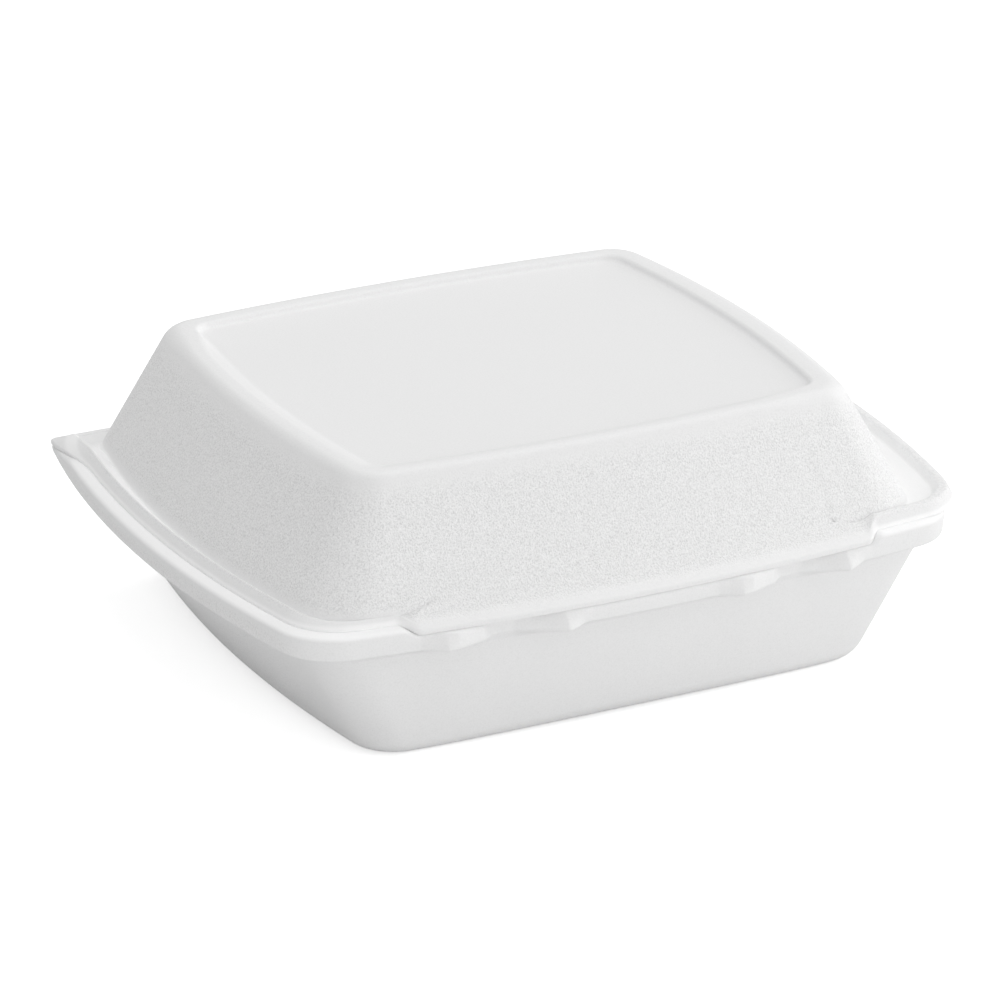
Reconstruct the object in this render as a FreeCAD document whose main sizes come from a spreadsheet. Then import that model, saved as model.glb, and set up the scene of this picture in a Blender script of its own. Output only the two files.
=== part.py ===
import FreeCAD, Part
import math
import os
import Sketcher

# Foam clamshell container: a base tray and a lid moulded in one sheet of foam, shown closed.
# Millimetres. X runs along the front edge, -Y is the front, +Z is up.
# The origin lies on the surface that the tray stands on, in the middle of its width.

doc = FreeCAD.newDocument("foam_clamshell_container")
V = FreeCAD.Vector

# Driving dimensions

SIZES = {
    "total_height": 76.4,
    "wall": 2.3,
    "clearance": 0.3,
    # rim of the tray
    "rim_low_height": 34.9,
    "rim_face_height": 4.5,
    "rim_shoulder_rise": 2.0,
    "rim_shoulder_width": 4.2,
    "rim_lip": 0.6,
    "rim_half_width": 107.0,
    "rim_front": 92.3,
    "rim_rear": 83.0,
    "rim_widest": 95.6,
    "rim_side_radius": 368.0,
    "rim_front_radius": 654.0,
    "rim_rear_radius": 9000.0,
    "rim_front_corner": 17.0,
    "rim_rear_corner": 2.0,
    # walls and floor of the tray
    "mouth_half_width": 100.5,
    "mouth_front": 88.1,
    "mouth_rear": 78.5,
    "mouth_widest": 90.0,
    "mouth_front_corner": 16.0,
    "mouth_rear_corner": 12.0,
    "floor_half_width": 79.2,
    "floor_front": 78.5,
    "floor_rear": 67.8,
    "floor_widest": 73.0,
    "floor_side_radius": 409.0,
    "floor_front_radius": 917.0,
    "floor_rear_radius": 2500.0,
    "floor_corner": 12.0,
    "floor_edge_radius": 7.0,
    "floor_inset": 1.6,
    # walls and top of the lid
    "lid_shift": 1.1,
    "lid_half_width": 97.4,
    "lid_front": 87.0,
    "lid_rear": 73.0,
    "lid_widest": 83.3,
    "lid_side_radius": 315.0,
    "lid_front_radius": 600.0,
    "lid_rear_radius": 4000.0,
    "lid_front_corner": 19.0,
    "lid_rear_corner": 15.0,
    "lid_wall_run": 2.6,
    "top_half_width": 77.3,
    "top_front": 70.8,
    "top_rear": 63.2,
    "top_widest": 66.4,
    "top_side_radius": 350.0,
    "top_front_radius": 797.0,
    "top_rear_radius": 716.0,
    "top_corner": 9.0,
    "top_edge_radius": 7.5,
    "top_inset": 0.4,
    # sunk panel in the lid
    "panel_half_width": 69.1,
    "panel_front": 64.2,
    "panel_rear": 55.6,
    "panel_widest": 60.1,
    "panel_side_radius": 353.0,
    "panel_front_radius": 593.0,
    "panel_rear_radius": 690.0,
    "panel_corner": 5.5,
    "panel_depth": 1.6,
    "panel_slope": 1.6,
    # flange of the lid
    "flange_inset": 0.7,
    "flange_front_inset": 3.6,
    "flange_shift": 3.3,
    "flange_thickness": 1.6,
    "ridge_width": 4.0,
    "ridge_height": 2.0,
    # hinge along the rear edge
    "hinge_drop": 4.5,
    "hinge_ramp": 28.0,
    "hinge_sheet": 1.5,
    # flap along the front of the lid, and the two closures
    "flap_half_length": 68.5,
    "flap_setback": 0.2,
    "flap_edge": 1.6,
    "flap_slope_run": 5.8,
    "flap_slope_rise": 2.4,
    "flap_depth": 8.0,
    "seat_depth": 12.0,
    "closure_spacing": 84.8,
    "left_ear_low_end": 23.5,
    "left_ear_low_peak": 17.4,
    "left_ear_low_foot": 6.0,
    "left_ear_low_depth": 4.0,
    "left_ear_high_end": 20.5,
    "left_ear_high_peak": 14.2,
    "left_ear_high_foot": 6.5,
    "left_ear_high_depth": 1.8,
    "right_ear_low_end": 22.0,
    "right_ear_low_peak": 16.2,
    "right_ear_low_foot": 2.0,
    "right_ear_low_depth": 4.5,
    "right_ear_high_end": 24.0,
    "right_ear_high_peak": 22.4,
    "right_ear_high_foot": 6.0,
    "right_ear_high_depth": 0.6,
    "recess_left": 2.5,
    "recess_right": 2.0,
    "recess_left_slope": 4.0,
    "recess_right_slope": 6.0,
    "recess_depth": 3.0,
    "ear_root": 2.0,
}

sheet = doc.addObject("Spreadsheet::Sheet", "sizes")
for row, (name, value) in enumerate(SIZES.items(), start=1):
    sheet.set(f"A{row}", name)
    sheet.set(f"B{row}", str(value))
    sheet.setAlias(f"B{row}", name)
doc.recompute()


class Size:
    """A length that carries its value and the expression that binds it to the sheet."""

    def __init__(self, text, value):
        self.text = text
        self.value = value

    def join(self, sign, other, value):
        text = other.text if isinstance(other, Size) else str(other)
        return Size(f"({self.text} {sign} {text})", value)

    def __add__(self, other):
        return self.join("+", other, self.value + number(other))

    def __sub__(self, other):
        return self.join("-", other, self.value - number(other))

    def __mul__(self, other):
        return self.join("*", other, self.value * number(other))

    def __truediv__(self, other):
        return self.join("/", other, self.value / number(other))


def number(length):
    return length.value if isinstance(length, Size) else float(length)


def size(name):
    return Size(f"<<sizes>>.{name}", float(sheet.get(name)))


wall = size("wall")
clearance = size("clearance")
rim_low = size("rim_low_height")
rim_face_top = rim_low + size("rim_face_height")
rim_top = rim_face_top + size("rim_shoulder_rise")
hinge_height = rim_top - size("hinge_drop")
flange_top = rim_top + size("flange_thickness")
ridge_top = flange_top + size("ridge_height")


# Helpers for sketches and features

def new_body(label):
    body = doc.addObject("PartDesign::Body", label)
    body.Label = label
    return body


def plane(body, role):
    return next(item for item in body.Origin.OriginFeatures if item.Role == role)


def new_sketch(body, name, role="XY_Plane", level=None):
    """A sketch on an origin plane of its body, at a bound distance from it."""
    sketch = body.newObject("Sketcher::SketchObject", name)
    sketch.AttachmentSupport = (plane(body, role), [""])
    sketch.MapMode = "FlatFace"
    if level is not None:
        sketch.AttachmentOffset = FreeCAD.Placement(V(0, 0, level.value), FreeCAD.Rotation())
        sketch.setExpression("AttachmentOffset.Base.z", level.text)
    return sketch


def bind(sketch, constraint, length):
    """Adds a constraint whose value follows a size."""
    index = sketch.addConstraint(Sketcher.Constraint(*constraint, length.value))
    sketch.setExpression(f"Constraints[{index}]", length.text)


def place_point(sketch, geometry, end, x, y):
    """Ties a point of a sketch to its place from the origin, whichever side of it it lies."""
    for kind, length in (("DistanceX", x), ("DistanceY", y)):
        if length.value < 0:
            bind(sketch, (kind, geometry, end, -1, 1), length * -1)
        else:
            bind(sketch, (kind, -1, 1, geometry, end), length)


def meeting_point(centre_a, reach_a, centre_b, reach_b, towards):
    """Where two circles cross, on the side that a direction points to."""
    across = centre_b - centre_a
    distance = across.Length
    along = (reach_a ** 2 - reach_b ** 2 + distance ** 2) / (2 * distance)
    height = math.sqrt(reach_a ** 2 - along ** 2)
    unit = across / distance
    side = V(-unit.y, unit.x, 0)
    options = [centre_a + unit * along + side * height * sign for sign in (1, -1)]
    return max(options, key=lambda point: point.dot(towards))


def arc(centre, radius, start, end):
    """The anticlockwise arc between two points of a circle."""
    angles = [math.atan2(point.y - centre.y, point.x - centre.x) for point in (start, end)]
    if angles[1] < angles[0]:
        angles[1] += 2 * math.pi
    return Part.ArcOfCircle(Part.Circle(centre, V(0, 0, 1), radius), *angles)


class Outline:
    """Rounded four-sided outline with bowed sides, in plan.

    half_width, front and rear are its furthest reaches, widest is how far behind the front
    its widest line lies, and radii are those of the sides, front and rear.
    """

    def __init__(self, half_width, front, rear, widest, radii, corners, shift=None):
        self.half_width = half_width
        self.front = front
        self.rear = rear
        self.widest = widest
        self.side_radius, self.front_radius, self.rear_radius = radii
        self.front_corner, self.rear_corner = corners
        self.shift = shift

    def inset(self, amount, front=None, rear=None, shift=None, rear_corner=None):
        """The outline moved inwards, with its radii shortened to match."""
        front = front or amount
        rear = rear or amount
        return Outline(
            self.half_width - amount,
            self.front - front,
            self.rear - rear,
            self.widest - front,
            (self.side_radius - amount, self.front_radius - amount, self.rear_radius - amount),
            (self.front_corner, rear_corner or self.rear_corner),
            shift or self.shift,
        )

    def draw(self, sketch):
        """Adds the outline's eight tangent arcs, bound to the sheet."""
        shift = number(self.shift) if self.shift else 0.0
        side = self.side_radius.value
        front = self.front_radius.value
        rear = self.rear_radius.value
        middle = V(shift, self.widest.value - self.front.value, 0)
        reach = side - self.half_width.value
        sides = {
            "front": (V(shift, front - self.front.value, 0), front),
            "right": (middle - V(reach, 0, 0), side),
            "rear": (V(shift, self.rear.value - rear, 0), rear),
            "left": (middle + V(reach, 0, 0), side),
        }
        corner_radius = {
            ("front", "right"): self.front_corner,
            ("right", "rear"): self.rear_corner,
            ("rear", "left"): self.rear_corner,
            ("left", "front"): self.front_corner,
        }
        towards = {
            ("front", "right"): V(1, -1, 0),
            ("right", "rear"): V(1, 1, 0),
            ("rear", "left"): V(-1, 1, 0),
            ("left", "front"): V(-1, -1, 0),
        }
        corners = {}
        for pair, radius in corner_radius.items():
            (centre_a, radius_a), (centre_b, radius_b) = (sides[key] for key in pair)
            rounding = radius.value
            centre = meeting_point(centre_a, radius_a - rounding, centre_b, radius_b - rounding, towards[pair])
            touch_a = centre + (centre - centre_a).normalize() * rounding
            touch_b = centre + (centre - centre_b).normalize() * rounding
            corners[pair] = (centre, rounding, touch_a, touch_b)
        order = ["front", "right", "rear", "left"]
        pieces = []
        for index, key in enumerate(order):
            before = (order[index - 1], key)
            after = (key, order[(index + 1) % 4])
            centre, radius = sides[key]
            pieces.append(arc(centre, radius, corners[before][3], corners[after][2]))
            centre, radius, start, end = corners[after]
            pieces.append(arc(centre, radius, start, end))
        first = len(sketch.Geometry)
        sketch.addGeometry(pieces, False)
        for step in range(8):
            sketch.addConstraint(
                Sketcher.Constraint("Tangent", first + step, 2, first + (step + 1) % 8, 1))
        front_arc, right_arc, rear_arc, left_arc = (first + step for step in (0, 2, 4, 6))
        bind(sketch, ("Radius", front_arc), self.front_radius)
        bind(sketch, ("Radius", right_arc), self.side_radius)
        bind(sketch, ("Radius", rear_arc), self.rear_radius)
        bind(sketch, ("Radius", left_arc), self.side_radius)
        for step, radius in ((1, self.front_corner), (3, self.rear_corner),
                             (5, self.rear_corner), (7, self.front_corner)):
            bind(sketch, ("Radius", first + step), radius)
        if self.shift:
            bind(sketch, ("DistanceX", -1, 1, front_arc, 3), self.shift)
        else:
            sketch.addConstraint(Sketcher.Constraint("PointOnObject", front_arc, 3, -2))
        bind(sketch, ("DistanceY", -1, 1, front_arc, 3), self.front_radius - self.front)
        sketch.addConstraint(Sketcher.Constraint("Vertical", rear_arc, 3, front_arc, 3))
        depth = self.front + self.rear
        bind(sketch, ("DistanceY", rear_arc, 3, front_arc, 3),
             self.front_radius + self.rear_radius - depth)
        bow = self.side_radius - self.half_width
        bind(sketch, ("DistanceX", right_arc, 3, front_arc, 3), bow)
        bind(sketch, ("DistanceX", front_arc, 3, left_arc, 3), bow)
        for side_arc in (right_arc, left_arc):
            bind(sketch, ("DistanceY", side_arc, 3, front_arc, 3), self.front_radius - self.widest)


def outline_sketch(body, name, level, *outlines):
    sketch = new_sketch(body, name, level=level)
    for outline in outlines:
        outline.draw(sketch)
    return sketch


def polygon_sketch(body, name, points, role="XY_Plane", level=None):
    """A closed sketch of straight lines through bound points."""
    sketch = new_sketch(body, name, role, level)
    places = [V(number(x), number(y), 0) for x, y in points]
    count = len(places)
    lines = [Part.LineSegment(places[step], places[(step + 1) % count]) for step in range(count)]
    sketch.addGeometry(lines, False)
    for step in range(count):
        sketch.addConstraint(Sketcher.Constraint("Coincident", step, 2, (step + 1) % count, 1))
    for step, (x, y) in enumerate(points):
        place_point(sketch, step, 1, x, y)
    return sketch


def pad(body, name, sketch, length):
    feature = body.newObject("PartDesign::Pad", name)
    feature.Profile = sketch
    feature.Length = length.value
    feature.setExpression("Length", length.text)
    doc.recompute()
    return feature


def pocket(body, name, sketch, length=None, both_ways=False, upwards=False):
    """Cuts a sketch away downwards, or upwards or both ways; it stops if nothing came off."""
    before = body.Shape.Volume
    feature = body.newObject("PartDesign::Pocket", name)
    feature.Profile = sketch
    feature.Reversed = upwards
    feature.Midplane = both_ways
    if length is None:
        feature.Type = "ThroughAll"
    else:
        feature.Length = length.value
        feature.setExpression("Length", length.text)
    doc.recompute()
    if not body.Shape.Volume < before:
        raise RuntimeError(f"{name} cuts nothing")
    return feature


def loft(body, kind, name, sections):
    feature = body.newObject(f"PartDesign::{kind}", name)
    feature.Profile = sections[0]
    feature.Sections = sections[1:]
    feature.Ruled = True
    doc.recompute()
    return feature


def round_edges(body, name, base, radius, wanted):
    """Rounds the edges of a feature that a test on each edge picks."""
    names = [f"Edge{index}" for index, edge in enumerate(base.Shape.Edges, start=1) if wanted(edge)]
    feature = body.newObject("PartDesign::Fillet", name)
    feature.Base = (base, names)
    feature.Radius = radius.value
    feature.setExpression("Radius", radius.text)
    doc.recompute()
    return feature


def lies_at(level):
    """A test for edges that lie flat at a height."""
    def test(edge):
        box = edge.BoundBox
        return abs(box.ZMin - level.value) < 0.01 and abs(box.ZMax - level.value) < 0.01
    return test


# Outlines that the two halves share

def named_outline(prefix, radii, corners, shift=None):
    return Outline(*(size(f"{prefix}_{key}") for key in ("half_width", "front", "rear", "widest")),
                   tuple(size(name) for name in radii), tuple(size(name) for name in corners), shift)


nothing = wall * 0
left_shift = size("lid_shift") * -1
rim_radii = ("rim_side_radius", "rim_front_radius", "rim_rear_radius")
rim = named_outline("rim", rim_radii, ("rim_front_corner", "rim_rear_corner"))
mouth = named_outline("mouth", rim_radii, ("mouth_front_corner", "mouth_rear_corner"))
floor = named_outline("floor", ("floor_side_radius", "floor_front_radius", "floor_rear_radius"),
                      ("floor_corner", "floor_corner"))
lid_foot = named_outline("lid", ("lid_side_radius", "lid_front_radius", "lid_rear_radius"),
                         ("lid_front_corner", "lid_rear_corner"), left_shift)
lid_top = named_outline("top", ("top_side_radius", "top_front_radius", "top_rear_radius"),
                        ("top_corner", "top_corner"), left_shift)
panel = named_outline("panel", ("panel_side_radius", "panel_front_radius", "panel_rear_radius"),
                      ("panel_corner", "panel_corner"), left_shift)
shoulder = rim.inset(size("rim_shoulder_width"))
opening = rim.inset(size("rim_shoulder_width") + size("rim_lip"), rear_corner=size("mouth_rear_corner"))
flange = rim.inset(size("flange_inset"), size("flange_front_inset"), nothing, size("flange_shift"))


def ramp_points(height, forward, upwards):
    """Side view of what lies above, or below, a ramp that falls to the hinge from a level."""
    crest = size("rim_rear") - size("hinge_ramp")
    behind = size("rim_rear") + 1
    end = hinge_height + size("hinge_sheet") if height is ridge_top else hinge_height
    foot = end - (height - end) / size("hinge_ramp")
    far = height + 9 if upwards else rim_low
    points = [(crest, height), (behind, foot), (behind, far)]
    if forward:
        return points + [(size("rim_front") * -1 - 9, far), (size("rim_front") * -1 - 9, height)]
    return points + [(crest, far)]


def cut_from_side(body, name, points):
    sketch = polygon_sketch(body, f"{name}_line", points, "YZ_Plane")
    pocket(body, name, sketch, size("rim_half_width") * 4, True)


def flap_sketch(body, name, level, inwards):
    """Strip along the front of the rim, between two arcs and two straight ends."""
    sketch = new_sketch(body, name, level=level)
    outer = size("rim_front_radius") - size("flap_setback") - inwards
    inner = size("rim_front_radius") - size("flap_depth")
    half = size("flap_half_length")
    rise = size("rim_front_radius") - size("rim_front")
    centre = V(0, rise.value, 0)
    corners = []
    for radius in (outer, inner):
        depth = math.sqrt(radius.value ** 2 - half.value ** 2)
        corners.append((centre + V(-half.value, -depth, 0), centre + V(half.value, -depth, 0)))
    (outer_left, outer_right), (inner_left, inner_right) = corners
    sketch.addGeometry([
        arc(centre, outer.value, outer_left, outer_right),
        Part.LineSegment(outer_right, inner_right),
        arc(centre, inner.value, inner_left, inner_right),
        Part.LineSegment(inner_left, outer_left),
    ], False)
    for joined in ((0, 2, 1, 1), (1, 2, 2, 2), (2, 1, 3, 1), (3, 2, 0, 1), (0, 3, 2, 3)):
        sketch.addConstraint(Sketcher.Constraint("Coincident", *joined))
    sketch.addConstraint(Sketcher.Constraint("PointOnObject", 0, 3, -2))
    sketch.addConstraint(Sketcher.Constraint("Vertical", 1))
    sketch.addConstraint(Sketcher.Constraint("Vertical", 3))
    bind(sketch, ("DistanceY", -1, 1, 0, 3), rise)
    bind(sketch, ("Radius", 0), outer)
    bind(sketch, ("Radius", 2), inner)
    bind(sketch, ("DistanceX", -1, 1, 1, 1), half)
    bind(sketch, ("DistanceX", 3, 1, -1, 1), half)
    return sketch


def rim_line_at(x):
    """How far forward the front of the rim lies at a place along it."""
    return (size("rim_front") - x * x / (size("rim_front_radius") * 2)) * -1


def ear_points(centre, side, way, height):
    """Plan of a closure's ear at its low or high end, with its peak in front of the rim."""
    end, peak, foot, depth = (size(f"{side}_ear_{height}_{key}") for key in ("end", "peak", "foot", "depth"))
    end, peak, foot = (centre + run * way for run in (end, peak, foot))
    root = size("ear_root")
    return [
        (end, rim_line_at(end) + root), (end, rim_line_at(end) + clearance),
        (peak, rim_line_at(peak) - depth),
        (foot, rim_line_at(foot) + clearance), (foot, rim_line_at(foot) + root),
    ]


def add_closure(body, name, centre):
    """Two leaning ears on the rim's face and a recess between them."""
    for side, way in (("left", -1), ("right", 1)):
        low = polygon_sketch(body, f"{name}_{side}_ear_low", ear_points(centre, side, way, "low"), level=rim_low)
        high = polygon_sketch(body, f"{name}_{side}_ear_high", ear_points(centre, side, way, "high"),
                              level=rim_face_top)
        doc.recompute()
        loft(body, "AdditiveLoft", f"{name}_{side}_ear", [low, high])
    left = centre - size("recess_left")
    right = centre + size("recess_right")
    left_end = left - size("recess_left_slope")
    right_end = right + size("recess_right_slope")
    depth = size("recess_depth")
    front = rim_line_at(centre) - size("ear_root")
    recess = polygon_sketch(body, f"{name}_recess", [
        (left_end, front), (right_end, front),
        (right, rim_line_at(right) + depth), (left, rim_line_at(left) + depth),
    ], level=rim_face_top)
    pocket(body, f"{name}_recess_cut", recess, size("rim_face_height"))


# Base tray

def build_tray():
    body = new_body("base_tray")
    floor_line = outline_sketch(body, "floor_outline", None, floor)
    mouth_line = outline_sketch(body, "mouth_outline", rim_low, mouth)
    doc.recompute()
    walls = loft(body, "AdditiveLoft", "outer_walls", [mouth_line, floor_line])
    round_edges(body, "floor_edge", walls, size("floor_edge_radius"), lies_at(nothing))
    rim_line = outline_sketch(body, "rim_outline", rim_low, rim)
    doc.recompute()
    pad(body, "rim_face", rim_line, size("rim_face_height"))
    shoulder_foot = outline_sketch(body, "shoulder_foot", rim_face_top, rim)
    shoulder_head = outline_sketch(body, "shoulder_head", rim_top, shoulder)
    doc.recompute()
    loft(body, "AdditiveLoft", "rim_shoulder", [shoulder_foot, shoulder_head])
    cavity_floor = outline_sketch(body, "cavity_floor", wall, floor.inset(size("floor_inset")))
    cavity_mouth = outline_sketch(body, "cavity_mouth", rim_top, opening)
    doc.recompute()
    cavity = loft(body, "SubtractiveLoft", "cavity", [cavity_mouth, cavity_floor])
    round_edges(body, "cavity_edge", cavity, size("floor_edge_radius") - wall, lies_at(wall))
    half = size("flap_half_length") + clearance
    front = (size("rim_front") + 1) * -1
    back = (size("rim_front") - size("seat_depth")) * -1
    seat = polygon_sketch(body, "flap_seat", [(half * -1, front), (half, front), (half, back), (half * -1, back)],
                          level=rim_top)
    pocket(body, "flap_seat_cut", seat, size("rim_shoulder_rise"))
    cut_from_side(body, "hinge_ramp", ramp_points(rim_top, False, True))
    for name, way in (("left", -1), ("right", 1)):
        add_closure(body, f"{name}_closure", size("closure_spacing") / 2 * way)
    return body


# Hinged lid

def build_lid():
    body = new_body("hinged_lid")
    flange_line = outline_sketch(body, "flange_outline", hinge_height, flange)
    doc.recompute()
    pad(body, "flange_block", flange_line, size("hinge_drop") + size("flange_thickness"))
    ridge_line = outline_sketch(body, "ridge_outline", flange_top, flange, flange.inset(size("ridge_width")))
    doc.recompute()
    pad(body, "ridge", ridge_line, size("ridge_height"))
    half = size("flap_half_length")
    front = (size("rim_front") + 1) * -1
    back = (size("lid_front") - size("lid_front_corner")) * -1
    gap = polygon_sketch(body, "flap_gap", [(half * -1, front), (half, front), (half, back), (half * -1, back)],
                         level=ridge_top)
    pocket(body, "flap_gap_cut", gap)
    cut_from_side(body, "hinge_ramp", ramp_points(ridge_top, False, True))
    cut_from_side(body, "underside", ramp_points(rim_top, True, False))
    foot_line = outline_sketch(body, "wall_foot", rim_top, lid_foot)
    head_line = outline_sketch(body, "wall_head", size("total_height"), lid_top)
    doc.recompute()
    walls = loft(body, "AdditiveLoft", "outer_walls", [foot_line, head_line])
    round_edges(body, "top_edge", walls, size("top_edge_radius"), lies_at(size("total_height")))
    flap_foot = flap_sketch(body, "flap_outline", rim_face_top, nothing)
    doc.recompute()
    pad(body, "flap_edge", flap_foot, size("flap_edge"))
    flap_level = rim_face_top + size("flap_edge")
    slope_foot = flap_sketch(body, "flap_slope_foot", flap_level, nothing)
    slope_head = flap_sketch(body, "flap_slope_head", flap_level + size("flap_slope_rise"), size("flap_slope_run"))
    doc.recompute()
    loft(body, "AdditiveLoft", "flap_slope", [slope_foot, slope_head])
    pocket_head = outline_sketch(body, "panel_head", size("total_height"), panel.inset(size("panel_slope") * -1))
    pocket_foot = outline_sketch(body, "panel_foot", size("total_height") - size("panel_depth"), panel)
    doc.recompute()
    loft(body, "SubtractiveLoft", "sunk_panel", [pocket_head, pocket_foot])
    inner_foot = outline_sketch(body, "cavity_foot", rim_top, lid_foot.inset(size("lid_wall_run")))
    ceiling = size("total_height") - size("panel_depth") - wall
    inner_head = outline_sketch(body, "cavity_head", ceiling, lid_top.inset(size("top_inset")))
    doc.recompute()
    cavity = loft(body, "SubtractiveLoft", "cavity", [inner_foot, inner_head])
    round_edges(body, "cavity_edge", cavity, size("top_edge_radius") - wall, lies_at(ceiling))
    lower = outline_sketch(body, "cavity_lower", rim_top, lid_foot.inset(size("lid_wall_run")))
    doc.recompute()
    pocket(body, "cavity_lower_cut", lower)
    return body


bodies = [build_tray(), build_lid()]
doc.recompute()
for item in doc.Objects:
    if "Invalid" in item.State or "Error" in item.State:
        raise RuntimeError(f"{item.Name} did not build")
os.makedirs("parts", exist_ok=True)
for body in bodies:
    if body.Shape.isNull() or not body.Shape.isValid() or len(body.Shape.Solids) != 1:
        raise RuntimeError(f"{body.Label} is not one sound solid")
    print(body.Label, round(body.Shape.Volume), body.Shape.BoundBox)
    body.Shape.exportStep(f"parts/{body.Label}.step")
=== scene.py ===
# %% [markdown]
# A takeaway clamshell of white foam, seen closed and from above its front left corner.
# The real one is pressed from a single warm sheet of foam: a tray, a lid, and between them
# a line pressed thin that acts as the hinge. Here each half becomes one closed skin.
# Everything is in metres, but the sizes below are written in millimetres and converted once.

# %% Load the measured model
import math

import bmesh
import bpy
import numpy as np
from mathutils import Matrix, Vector


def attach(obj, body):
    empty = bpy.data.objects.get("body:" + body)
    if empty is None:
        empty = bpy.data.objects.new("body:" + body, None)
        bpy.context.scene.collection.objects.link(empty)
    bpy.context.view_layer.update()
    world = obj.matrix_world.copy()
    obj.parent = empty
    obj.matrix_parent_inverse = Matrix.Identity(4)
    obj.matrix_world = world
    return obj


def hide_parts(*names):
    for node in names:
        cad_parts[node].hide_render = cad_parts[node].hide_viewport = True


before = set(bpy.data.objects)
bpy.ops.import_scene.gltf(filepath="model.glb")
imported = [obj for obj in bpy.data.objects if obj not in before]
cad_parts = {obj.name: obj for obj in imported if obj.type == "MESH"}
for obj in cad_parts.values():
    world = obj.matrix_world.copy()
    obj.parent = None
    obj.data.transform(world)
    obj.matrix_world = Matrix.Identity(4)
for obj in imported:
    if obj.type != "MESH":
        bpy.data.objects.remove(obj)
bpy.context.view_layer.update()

# %% [markdown]
# The camera comes first, because every later choice is judged through it. It was found by
# matching traced edges of the container: a long lens, about 1.4 m away, 24 degrees above
# the table and 27 degrees round to the left of the front.

# %% Camera
bpy.ops.object.select_all(action="DESELECT")
eye = Vector((-0.5881, -1.1722, 0.5714))
target = Vector((0.0060, 0.0101, 0.0270))
aim = (target - eye).to_track_quat("-Z", "Y").to_euler()
bpy.ops.object.camera_add(location=eye, rotation=aim)
camera = bpy.context.object
camera.name = "photo_camera"
camera.data.lens = 185.95
camera.data.sensor_width = 36.0
camera.data.clip_start = 0.05
camera.data.clip_end = 20.0
bpy.context.scene.camera = camera
print("camera distance", round((target - eye).length, 3))

# %% [markdown]
# Seen from above, every level of the container is the same kind of line: four bowed sides
# joined by round corners. A plan line keeps its furthest reaches, the radii of its bows and
# of its corners, so a level can be drawn at any height and set in or out by a few millimetres.

# %% Plan lines
class PlanLine:
    def __init__(self, half, front, rear, widest, bows, corners, shift=0.0):
        self.half, self.front, self.rear, self.widest = half, front, rear, widest
        self.bows, self.corners, self.shift = bows, corners, shift

    def inset(self, amount, front=None, rear=None, shift=None, rear_corner=None):
        front = amount if front is None else front
        rear = amount if rear is None else rear
        corners = (self.corners[0], rear_corner or self.corners[1])
        return PlanLine(self.half - amount, self.front - front, self.rear - rear,
                        self.widest - front, tuple(bow - amount for bow in self.bows), corners,
                        self.shift if shift is None else shift)

    def circles(self):
        side, front, rear = self.bows
        middle = np.array([0.0, self.widest - self.front])
        offset = np.array([side - self.half, 0.0])
        return [(np.array([0.0, front - self.front]), front), (middle - offset, side),
                (np.array([0.0, self.rear - rear]), rear), (middle + offset, side)]

    def corner(self, index):
        """Centre and touching points of a corner: 0 front right, 1 rear right, 2 rear left, 3."""
        circles = self.circles()
        (a, ra), (b, rb) = circles[index], circles[(index + 1) % 4]
        radius = self.corners[0] if index in (0, 3) else self.corners[1]
        towards = np.array([(1, -1), (1, 1), (-1, 1), (-1, -1)][index])
        ra, rb, across = ra - radius, rb - radius, b - a
        distance = np.linalg.norm(across)
        along = (ra ** 2 - rb ** 2 + distance ** 2) / (2 * distance)
        unit = across / distance
        height = math.sqrt(ra ** 2 - along ** 2) * np.array([-unit[1], unit[0]])
        centre = max((a + unit * along + height * sign for sign in (1, -1)),
                     key=lambda place: place @ towards)
        out = [(centre - near) / np.linalg.norm(centre - near) for near in (a, b)]
        return centre, radius, centre + out[0] * radius, centre + out[1] * radius


rim = PlanLine(107.0, 92.3, 83.0, 95.6, (368.0, 654.0, 9000.0), (17.0, 2.0))
mouth = PlanLine(100.5, 88.1, 78.5, 90.0, (368.0, 654.0, 9000.0), (16.0, 12.0))
floor_line = PlanLine(79.2, 78.5, 67.8, 73.0, (409.0, 917.0, 2500.0), (12.0, 12.0))
lid_foot = PlanLine(97.4, 87.0, 73.0, 83.3, (315.0, 600.0, 4000.0), (19.0, 15.0), -1.1)
lid_top = PlanLine(77.3, 70.8, 63.2, 66.4, (350.0, 797.0, 716.0), (9.0, 9.0), -1.1)
panel = PlanLine(69.1, 64.2, 55.6, 60.1, (353.0, 593.0, 690.0), (5.5, 5.5), -1.1)
flange = rim.inset(0.7, front=3.6, rear=0.0, shift=3.3)
print("rim corner touches the front at x =", round(rim.corner(3)[3][0], 1))

# %% [markdown]
# All rings of a half get the same number of points in the same order, so that neighbouring
# rings join into clean rows of faces. Along the front the points sit where something
# happens: the ends of the flap and the breaks of the two closures.

# %% Marks along the front, and points round a plan line
FLAP_END = 68.5
CLOSURES = (-42.4, 42.4)
EAR_LOW = [(-23.5, 0.0), (-17.4, 3.9), (-6.0, 0.0), (-3.0, -2.9), (3.5, -3.2), (16.2, 4.4), (22.0, 0.0)]
EAR_HIGH = [(-20.5, 0.0), (-14.2, 1.7), (-6.5, -0.4), (-4.0, -3.3), (8.0, -3.5), (22.4, 0.5), (24.0, 0.0)]
breaks = [side * (FLAP_END + gap) for side in (-1, 1) for gap in np.arange(-3.0, 3.1, 0.5)]
breaks += [middle + at + gap for middle in CLOSURES for at, depth in EAR_LOW + EAR_HIGH
           for gap in (-0.5, 0.0, 0.5)]
front_end = rim.corner(0)[2][0]
plain_marks = [at for at in np.linspace(-front_end, front_end, 75)
               if min(abs(at - mark) for mark in breaks) > 0.7]
marks = sorted(breaks + plain_marks)
front_marks = np.array([at for at, before in zip(marks, [-999.0] + marks) if at - before > 0.2])
EXACT = 72.0


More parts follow.
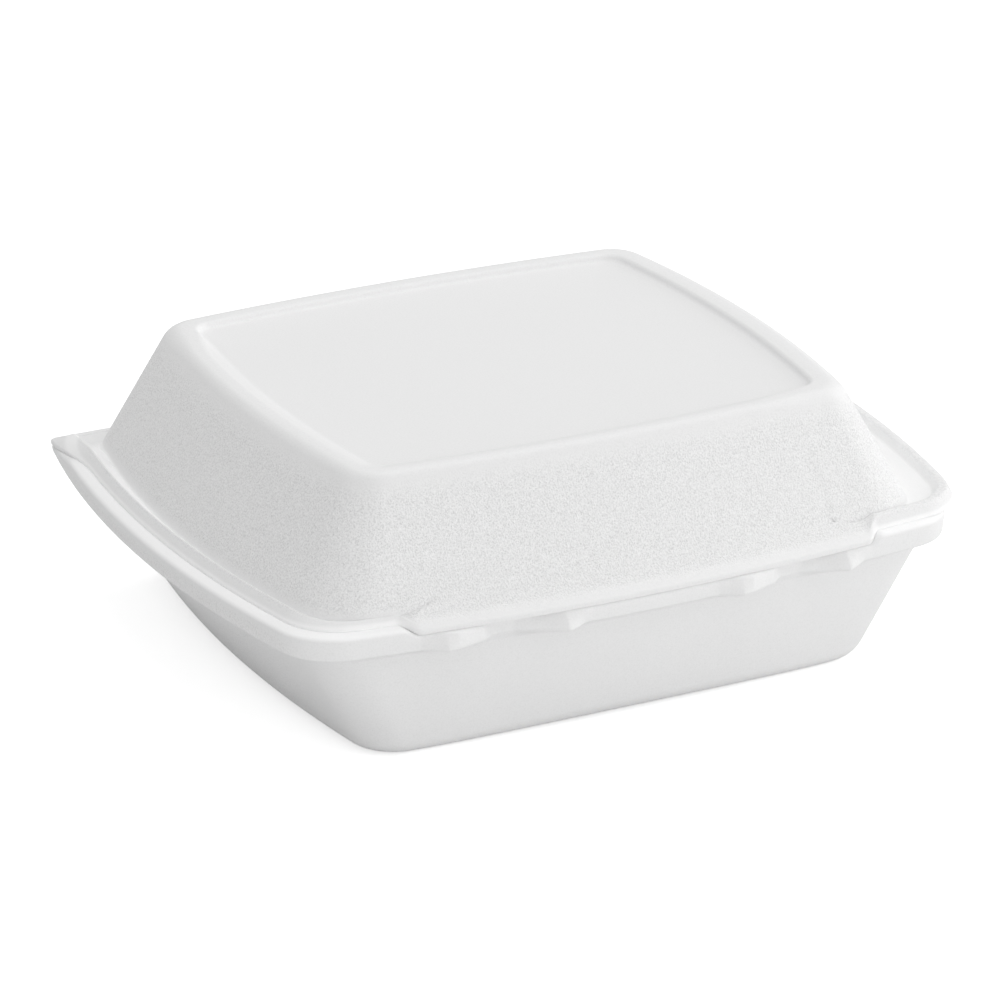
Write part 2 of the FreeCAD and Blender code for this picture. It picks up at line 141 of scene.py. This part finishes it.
def ring_of(line, exact=True):
    """Points round a plan line, anticlockwise from the front left corner."""
    circles = line.circles()
    corners = [line.corner(index) for index in range(4)]
    end = corners[0][2][0]
    x = front_marks * end / front_end
    if exact:
        x = np.interp(front_marks, [-front_end, -EXACT, EXACT, front_end],
                      [-end, -EXACT - line.shift, EXACT - line.shift, end])
    parts = []
    for index, steps in enumerate((None, 44, 52, 44)):
        centre, radius = circles[index]
        if index == 0:
            parts.append(np.column_stack([x, centre[1] - np.sqrt(radius ** 2 - x ** 2)]))
        else:
            parts.append(arc_points(centre, radius, corners[index - 1][3], corners[index][2], steps))
        parts.append(arc_points(*corners[index], 14)[1:-1])
    return np.concatenate(parts) + np.array([line.shift, 0.0])


def arc_points(centre, radius, start, end, steps):
    """Points along a circle, anticlockwise from one place on it to another."""
    first, last = (math.atan2(*(place - centre)[::-1]) for place in (start, end))
    turn = (last - first) % (2 * math.pi)
    angles = first + turn * np.linspace(0.0, 1.0, steps)
    return centre + radius * np.column_stack([np.cos(angles), np.sin(angles)])


def ring_at(plan, height):
    """A ring from points in plan and a height, one number or one for each point."""
    return np.column_stack([plan, np.broadcast_to(height, len(plan))])


def level(line, height, exact=True):
    """The ring of a plan line at a height, one number or one for each point."""
    return ring_at(ring_of(line, exact), height)


print("points in a ring", len(ring_of(rim)))

# %% [markdown]
# A section is a list of rings from the middle of the underside, round the outside, to the
# middle of the inside. Foam has no knife-sharp edges, so each turn of the section is
# rounded: a few rings are laid along a curve between the ring before it and the one after.

# %% Rounded turns of a section
def rounded(section):
    """Rings of a section whose turns are rounded; each entry is (ring, radius, steps)."""
    rings = [section[0][0]]
    for index in range(1, len(section) - 1):
        before, (here, radius, steps), after = section[index - 1][0], section[index], section[index + 1][0]
        back, on = before - here, after - here
        back_length = np.linalg.norm(back, axis=1, keepdims=True) + 1e-6
        on_length = np.linalg.norm(on, axis=1, keepdims=True) + 1e-6
        cosine = np.clip(np.sum(back / back_length * on / on_length, axis=1, keepdims=True), -1, 1)
        half_turn = (math.pi - np.arccos(cosine)) / 2
        reach = np.minimum(radius * np.tan(np.minimum(half_turn, 1.3)),
                           0.46 * np.minimum(back_length, on_length))
        start, end = here + back / back_length * reach, here + on / on_length * reach
        weight = np.cos(half_turn)
        for t in np.linspace(0.0, 1.0, steps + 1):
            parts = (1 - t) ** 2, 2 * weight * t * (1 - t), t ** 2
            rings.append((parts[0] * start + parts[1] * here + parts[2] * end) / sum(parts))
    return rings + [section[-1][0]]


def walls_cut(rings, place, cuts):
    """The rings with a few more between a ring and the next one, for a long wall."""
    first, second = rings[place], rings[place + 1]
    between = [first + (second - first) * (step + 1) / (cuts + 1) for step in range(cuts)]
    return rings[:place + 1] + between + rings[place + 1:]


corner_test = [(np.array([place]), 1.0, 4) for place in ((0.0, 0.0), (5.0, 0.0), (5.0, 5.0))]
print("a square turn becomes", len(rounded(corner_test)), "rings")

# %% [markdown]
# The skin itself is pulled up ring by ring, as by hand: a flat disc is the start, it is
# extruded again and again, and after each extrusion its edge is set onto the next ring.
# The last disc closes the inside, so the piece is a closed solid with a real wall.

# %% Pulling a skin out of a disc
def place_disc(ring, previous):
    """Sets the selected disc's edge onto a ring; previous gives the order of the ring below."""
    mesh = bpy.context.object.data
    edit = bmesh.from_edit_mesh(mesh)
    edit.verts.ensure_lookup_table()
    disc = next(face for face in edit.faces if face.select)
    if previous is None:
        order = [vert.index for vert in disc.verts]
    else:
        rank = {index: place for place, index in enumerate(previous)}
        order = [None] * len(previous)
        inside = set(disc.verts)
        for vert in disc.verts:
            below = next(edge.other_vert(vert) for edge in vert.link_edges
                         if edge.other_vert(vert) not in inside)
            order[rank[below.index]] = vert.index
    for index, place in zip(order, ring):
        edit.verts[index].co = Vector(place) * 0.001
    bmesh.update_edit_mesh(mesh)
    return order


def pull_skin(name, rings):
    """A closed piece whose skin runs through the rings, from the first disc to the last."""
    bpy.ops.object.select_all(action="DESELECT")
    bpy.ops.mesh.primitive_circle_add(vertices=len(rings[0]), radius=0.05, fill_type="NGON")
    piece = bpy.context.object
    piece.name = name
    piece.data.name = name
    bpy.ops.object.mode_set(mode="EDIT")
    bpy.ops.mesh.select_all(action="SELECT")
    order = place_disc(rings[0], None)
    for ring in rings[1:]:
        bpy.ops.mesh.extrude_region_move()
        order = place_disc(ring, order)
    bpy.ops.mesh.select_all(action="SELECT")
    bpy.ops.mesh.remove_doubles(threshold=0.000002)
    bpy.ops.mesh.normals_make_consistent(inside=False)
    bpy.ops.object.mode_set(mode="OBJECT")
    bpy.ops.object.shade_smooth_by_angle(angle=math.radians(38))
    print(name, "rings", len(rings), "faces", len(piece.data.polygons))
    return piece


# %% [markdown]
# The tray's rim stands out like a small brim: a flat face, a sloping shoulder, and a lip
# round the opening. At the back the whole top slopes down to the thin hinge line. In the
# middle of the front the shoulder is missing, because the lid's flap lies there, and two
# closures stick out of the rim's face, each with two pointed ears and a recess between.

# %% Heights that change round the rim
RIM_LOW, FACE_TOP, RIM_TOP, HINGE, TOTAL, WALL = 34.9, 39.4, 41.4, 36.9, 76.4, 2.3
FLANGE_TOP, RIDGE_TOP, GROOVE_DEEP, PANEL_DEEP = 43.0, 45.0, 0.8, 1.6
RAMP_START, RAMP_LENGTH = 55.0, 28.0
FLAP_EASE = 5.0


def under_ramp(plan, height, crest_height, end_height):
    """A height, kept under the ramp that falls to the hinge over the last few centimetres."""
    fall = (crest_height - end_height) * np.clip((plan[:, 1] - RAMP_START) / RAMP_LENGTH, 0.0, 1.0)
    return np.minimum(height, crest_height - fall)


def smooth(share):
    """An even ease from 0 to 1."""
    share = np.clip(share, 0.0, 1.0)
    return share * share * (3.0 - 2.0 * share)


def along_front(plan):
    """True for the points that lie on the front side of a ring."""
    return np.arange(len(plan)) < len(front_marks)


def step_at_flap(plan, low, high):
    """One height within the flap's length and another one beyond its ends."""
    reach = smooth((np.abs(plan[:, 0]) - FLAP_END) / FLAP_EASE + 0.5)
    inside = np.where(along_front(plan), 1.0 - reach, 0.0)
    return low * inside + high * (1.0 - inside)


def flap_seat(plan, raised):
    """Height of the tray's top: lowered under the flap, raised elsewhere, ramped to the hinge."""
    return under_ramp(plan, step_at_flap(plan, FACE_TOP, raised), raised, HINGE)


def with_ears(ring, marks):
    """A ring of the rim's face with the ears and the recess of both closures in it."""
    out = np.zeros(len(ring))
    for middle in CLOSURES:
        places, depths = zip(*((middle + at, depth) for at, depth in marks))
        for shift in (-0.4, 0.0, 0.4):
            out += np.interp(ring[:, 0] + shift, places, depths) / 3
    moved = ring.copy()
    moved[:, 1] -= np.where(along_front(ring), out, 0.0)
    return moved


def drawn_in(ring):
    """The rim's front right corner, which sits a little further in than the others."""
    moved = ring.copy()
    moved[:, 0] -= 1.8 * smooth((ring[:, 0] - 80.0) / 25.0) * smooth((-ring[:, 1] - 40.0) / 30.0)
    return moved


print("the rim's top falls to the hinge over the last", RAMP_LENGTH, "mm")

# %% Tray
shoulder = rim.inset(4.2)
opening = rim.inset(4.8, rear_corner=12.0)
rim_plan = ring_of(rim)
shoulder_plan = ring_of(shoulder)
opening_plan = ring_of(opening)
wall_low, wall_high = level(floor_line, 0.0, False), level(mouth, RIM_LOW)
under_rim = wall_low + (wall_high - wall_low) * 0.94
face_foot = level(rim.inset(0.5), RIM_LOW)
face_head = ring_at(ring_of(rim.inset(0.1)), flap_seat(rim_plan, RIM_TOP - 0.2))
tray_section = [
    (level(floor_line.inset(30.0), 0.0, False), 0, 0),
    (level(floor_line, 0.0, False), 7.0, 7),
    (drawn_in(under_rim), 1.5, 3),
    (drawn_in(with_ears(face_foot, EAR_LOW)), 1.0, 4),
    (drawn_in(with_ears(face_head, EAR_HIGH)), 1.3, 5),
    (ring_at(shoulder_plan, flap_seat(shoulder_plan, RIM_TOP)), 0.5, 2),
    (ring_at(opening_plan, flap_seat(opening_plan, RIM_TOP)), 0.7, 2),
    (level(floor_line.inset(1.6), WALL, False), 4.7, 6),
    (level(floor_line.inset(30.0), WALL, False), 0, 0),
]
tray = pull_skin("tray_foam", walls_cut(rounded(tray_section), 8, 3))
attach(tray, "tray")
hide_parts("base_tray")

# %% [markdown]
# The lid is pulled the same way, but from its inside outwards, so that the last disc is the
# sunk panel on top. Its flange carries a raised ridge round the sides; along the front the
# flange is cut off and a flap slopes down onto the tray's rim instead.

# %% Lid
def wall_level(height):
    """The ring of the lid's sloping wall at a height."""
    foot, head = ring_of(lid_foot, False), ring_of(lid_top, False)
    share = np.broadcast_to((height - RIM_TOP) / (TOTAL - RIM_TOP), len(foot))[:, None]
    return ring_at(foot + (head - foot) * share, height)


def on_flap(plain, flapped):
    """One ring beyond the flap's ends, and another along the flap."""
    share = step_at_flap(flap_plan, 1.0, 0.0)[:, None]
    return plain * (1.0 - share) + flapped * share


to_right = smooth(rim_plan[:, :1] / 60.0 + 0.5)


def on_flange(left, right):
    """The flange's outline, set in by one amount on the left and another one on the right."""
    return ring_of(flange.inset(left)) * (1.0 - to_right) + ring_of(flange.inset(right)) * to_right


settled = smooth((rim.rear - rim_plan[:, 1]) / 40.0)[:, None]
edge_plan = rim_plan * (1.0 - settled) + ring_of(flange) * settled
crest_plan, ridge_plan, groove_plan = on_flange(2.1, 1.5), on_flange(2.8, 3.7), on_flange(4.0, 5.3)
cavity_plan = ring_of(lid_foot.inset(2.6), False)
ceiling = TOTAL - PANEL_DEEP - WALL
flap_plan, middle_plan, slope_plan = (ring_of(rim.inset(amount)) for amount in (0.2, 2.0, 4.8))


def flange_floor(plan):
    """Height of the flange's upper side, which follows the ramp down to the hinge sheet."""
    return under_ramp(plan, FLANGE_TOP, FLANGE_TOP, HINGE + 1.5)


def groove_floor(plan):
    """Height of the groove between the ridge and the wall."""
    return under_ramp(plan, FLANGE_TOP - GROOVE_DEEP, FLANGE_TOP - GROOVE_DEEP, HINGE + 1.5)


def ridge_height(plan):
    """The ridge on the flange: full along the sides, gone just before the hinge."""
    place = ring_of(flange)
    near_hinge = smooth((rim.rear - place[:, 1] - 1.5) / 3.0)
    lowered = smooth((-70.0 - place[:, 1]) / 12.0) * np.where(place[:, 0] < 0, 0.7, 0.0)
    return flange_floor(plan) + (RIDGE_TOP - FLANGE_TOP) * near_hinge * (1.0 - lowered)


def towards_right(left, right):
    """One ring on the left and front of the lid's top, easing into another on the right and rear."""
    share = np.maximum(smooth((left[:, 0] - 40.0) / 22.0), smooth((left[:, 1] - 30.0) / 20.0))[:, None]
    return left * (1.0 - share) + right * share


def edge_height(above, above_hinge):
    """Height of the flange's outer edge, so far above the rim and above the hinge line."""
    return under_ramp(edge_plan, RIM_TOP + above, RIM_TOP + above, HINGE + above_hinge)


wall_foot = wall_level(groove_floor(ring_of(lid_foot, False)))
ridge_inner = ridge_height(ridge_plan) - 0.9 * (1.0 - to_right[:, 0])
panel_edge = level(panel.inset(-3.3), TOTAL, False), level(panel.inset(-0.8), TOTAL, False)
panel_foot = level(panel.inset(1.3), TOTAL - PANEL_DEEP, False), level(panel, TOTAL - PANEL_DEEP, False)
lid_section = [
    (level(lid_top.inset(30.0), ceiling, False), 0, 0),
    (level(lid_top.inset(0.4), ceiling, False), 5.2, 6),
    (ring_at(cavity_plan, flap_seat(cavity_plan, RIM_TOP)), 0.5, 2),
    (on_flap(ring_at(edge_plan, edge_height(-0.05, 0.0)), ring_at(flap_plan, FACE_TOP)), 0.2, 2),
    (on_flap(ring_at(edge_plan, edge_height(0.6, 1.4)), ring_at(flap_plan, 40.9)), 0.6, 3),
    (on_flap(ring_at(crest_plan, ridge_height(crest_plan)), ring_at(middle_plan, 41.9)), 1.2, 4),
    (on_flap(ring_at(ridge_plan, ridge_inner), ring_at(slope_plan, 43.3)), 1.1, 4),
    (on_flap(ring_at(groove_plan, groove_floor(groove_plan)), wall_level(45.3)), 0.7, 3),
    (on_flap(wall_foot, wall_level(48.0)), 1.2, 3),
    (level(lid_top, TOTAL, False), 7.5, 8),
    (towards_right(*panel_edge), 4.0, 6),
    (towards_right(*panel_foot), 4.0, 6),
    (level(panel.inset(25.0), TOTAL - PANEL_DEEP, False), 0, 0),
]
lid = pull_skin("lid_foam", rounded(lid_section))
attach(lid, "lid")
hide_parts("hinged_lid")

# %% [markdown]
# Foam looks white but never flat: its skin is full of closed cells, half a millimetre
# across, that catch the light. Cells, specks, soft patches and a slow swell drive a bump, and
# the specks tint the colour a little. Where the mould pressed harder, on the panel, the rim
# and the tray's front, the grain fades. A band at the height of the rim's top, on tray and lid,
# is painted lighter as a painted highlight, faint along the flap. All patterns sit on object
# coordinates, so they stay put when the lid opens.

# %% Shader sums written as expressions
class Link:
    """A socket that can be added to, multiplied by and subtracted from others."""

    def __init__(self, graph, socket):
        self.graph, self.socket = graph, socket

    def sum_with(self, operation, first, second):
        return self.graph.node("ShaderNodeMath", {"operation": operation}, {0: first, 1: second})

    def __add__(self, other):
        return self.sum_with("ADD", self, other)

    def __sub__(self, other):
        return self.sum_with("SUBTRACT", self, other)

    def __mul__(self, other):
        return self.sum_with("MULTIPLY", self, other)


class Graph:
    """The nodes of one material."""

    def __init__(self, name):
        self.material = bpy.data.materials.new(name)
        self.material.use_nodes = True
        self.tree = self.material.node_tree
        self.tree.nodes.clear()

    def node(self, kind, settings=None, inputs=None, output=0):
        """A new node, its inputs linked or set to values; gives back one of its outputs."""
        made = self.tree.nodes.new(kind)
        for name, value in (settings or {}).items():
            if name == "stops":
                ramp = made.color_ramp.elements
                while len(ramp) < len(value):
                    ramp.new(0.5)
                for stop, (at, shade) in zip(ramp, value):
                    stop.position = at
                    stop.color = (shade, shade, shade, 1.0)
            else:
                setattr(made, name, value)
        for name, value in (inputs or {}).items():
            if isinstance(value, Link):
                self.tree.links.new(value.socket, made.inputs[name])
            else:
                made.inputs[name].default_value = value
        return Link(self, made.outputs[output]) if len(made.outputs) else None

    def ease(self, value, start, end, low, high):
        """Goes smoothly from low to high while the value goes from start to end."""
        return self.node("ShaderNodeMapRange", {"interpolation_type": "SMOOTHSTEP"}, {
            "Value": value, "From Min": start, "From Max": end, "To Min": low, "To Max": high})


# %% Foam
CELLS = 2100.0
TINTS = [(0.0, 0.62), (0.5, 0.875), (1.0, 1.0)]


def foam_material():
    graph = Graph("foam_skin")
    place = graph.node("ShaderNodeTexCoord", output="Object")
    height_here = graph.node("ShaderNodeSeparateXYZ", {}, {"Vector": place}, output="Z")
    across = graph.node("ShaderNodeSeparateXYZ", {}, {"Vector": place}, output="X")
    off_middle = graph.node("ShaderNodeMath", {"operation": "ABSOLUTE"}, {0: across})
    flap_zone = graph.ease(off_middle, 0.066, 0.070, 0.0023, 0.0)
    cells = graph.node("ShaderNodeTexVoronoi", {"feature": "F1"}, {"Vector": place, "Scale": CELLS},
                       output="Distance")
    specks = graph.node("ShaderNodeTexNoise", {}, {"Vector": place, "Scale": CELLS, "Detail": 2.5})
    patches = graph.node("ShaderNodeTexNoise", {}, {"Vector": place, "Scale": 260.0, "Detail": 2.0})
    swell = graph.node("ShaderNodeTexNoise", {}, {"Vector": place, "Scale": 24.0, "Detail": 1.0})
    wall_band = graph.ease(height_here + flap_zone, 0.0432, 0.0458, 0.12, 1.0)
    top_band = graph.ease(height_here, 0.069, 0.0745, 1.0, 0.12)
    side_band = graph.ease(off_middle - height_here * 0.6, 0.072, 0.079, 0.0, 0.6)
    below_ledge = graph.ease(height_here, 0.0386, 0.0398, 1.0, 0.0)
    grainy = graph.node("ShaderNodeMath", {"operation": "MAXIMUM"},
                        {0: wall_band * top_band, 1: side_band * below_ledge})
    height = (cells * 0.6 + specks * 0.8) * grainy + patches * 0.25 + swell * 1.5
    bump = graph.node("ShaderNodeBump", {}, {"Height": height, "Strength": 0.6, "Distance": 0.0003})
    # Painted highlight: the colour is lifted lighter in a band from about 40 to 43 mm up, round the rim's
    # top, weaker along the flap; the specks add the grain's own tone.
    highlight_rise = graph.ease(height_here, 0.0402, 0.0411, 0.0, 0.42)
    highlight_beside_flap = graph.ease(off_middle, 0.068, 0.072, 0.2, 1.0)
    highlight_fall = graph.ease(height_here, 0.0421, 0.0430, 1.0, 0.0)
    shade = (specks - 0.5) * (grainy * 1.15 + 0.15) + highlight_rise * highlight_fall * highlight_beside_flap + 0.5
    tint = graph.node("ShaderNodeValToRGB", {"stops": TINTS}, {"Fac": shade})
    skin = graph.node("ShaderNodeBsdfPrincipled", {}, {
        "Base Color": tint, "Roughness": 0.55, "Specular IOR Level": 0.3, "Normal": bump})
    graph.node("ShaderNodeOutputMaterial", {}, {"Surface": skin})
    return graph.material


foam = foam_material()
for piece in (tray, lid):
    piece.data.materials.clear()
    piece.data.materials.append(foam)
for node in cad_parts.values():
    for slot in node.material_slots:
        slot.material = foam
print("material", foam.name)

# %% [markdown]
# The photograph's background is plain white. The floor is a pale sheet that shines a
# little for the camera alone, so it reads white there, keeps the container's soft shadow
# and adds no extra light to the foam. Six soft lamps were weighed against the tones of the
# photograph: the right and the front are lit most, but not so much that a wall burns out.

# %% Floor and lights
bpy.ops.object.select_all(action="DESELECT")
bpy.ops.mesh.primitive_plane_add(size=6.0, location=(0.0, 0.0, -0.0001))
table = bpy.context.object
table.name = "pale_table"
ground = Graph("pale_table")
seen = ground.node("ShaderNodeLightPath", output="Is Camera Ray")
sheet = ground.node("ShaderNodeBsdfPrincipled", {}, {
    "Base Color": (0.85, 0.85, 0.85, 1.0), "Roughness": 0.9, "Specular IOR Level": 0.1,
    "Emission Color": (1.0, 1.0, 1.0, 1.0), "Emission Strength": seen * 0.55})
ground.node("ShaderNodeOutputMaterial", {}, {"Surface": sheet})
table.data.materials.append(ground.material)


LAMPS = [("right_side", (1.8, 0.1, 0.9), 1.0, 7.3), ("right_low", (1.7, -0.7, 0.35), 0.8, 6.2),
         ("front", (-0.1, -2.0, 0.6), 1.0, 6.0), ("front_high", (0.2, -1.2, 1.6), 1.0, 2.8),
         ("left_front", (-1.4, -1.3, 0.8), 1.0, 1.0), ("steep_back", (0.2, 0.8, 1.8), 1.0, 9.0)]
for name, place, size, power in LAMPS:
    bpy.ops.object.light_add(type="AREA", location=place)
    lamp = bpy.context.object
    lamp.name = name
    lamp.rotation_euler = (Vector((0.0, 0.0, 0.03)) - Vector(place)).to_track_quat("-Z", "Y").to_euler()
    lamp.data.shape = "SQUARE"
    lamp.data.size = size
    lamp.data.energy = power
world = bpy.data.worlds.new("pale_room")
bpy.context.scene.world = world
world.use_nodes = True
sky = world.node_tree.nodes["Background"]
sky.inputs["Color"].default_value = (1.0, 1.0, 1.0, 1.0)
sky.inputs["Strength"].default_value = 0.54
bpy.context.scene.view_settings.view_transform = "Standard"
print("lamps", len(LAMPS))
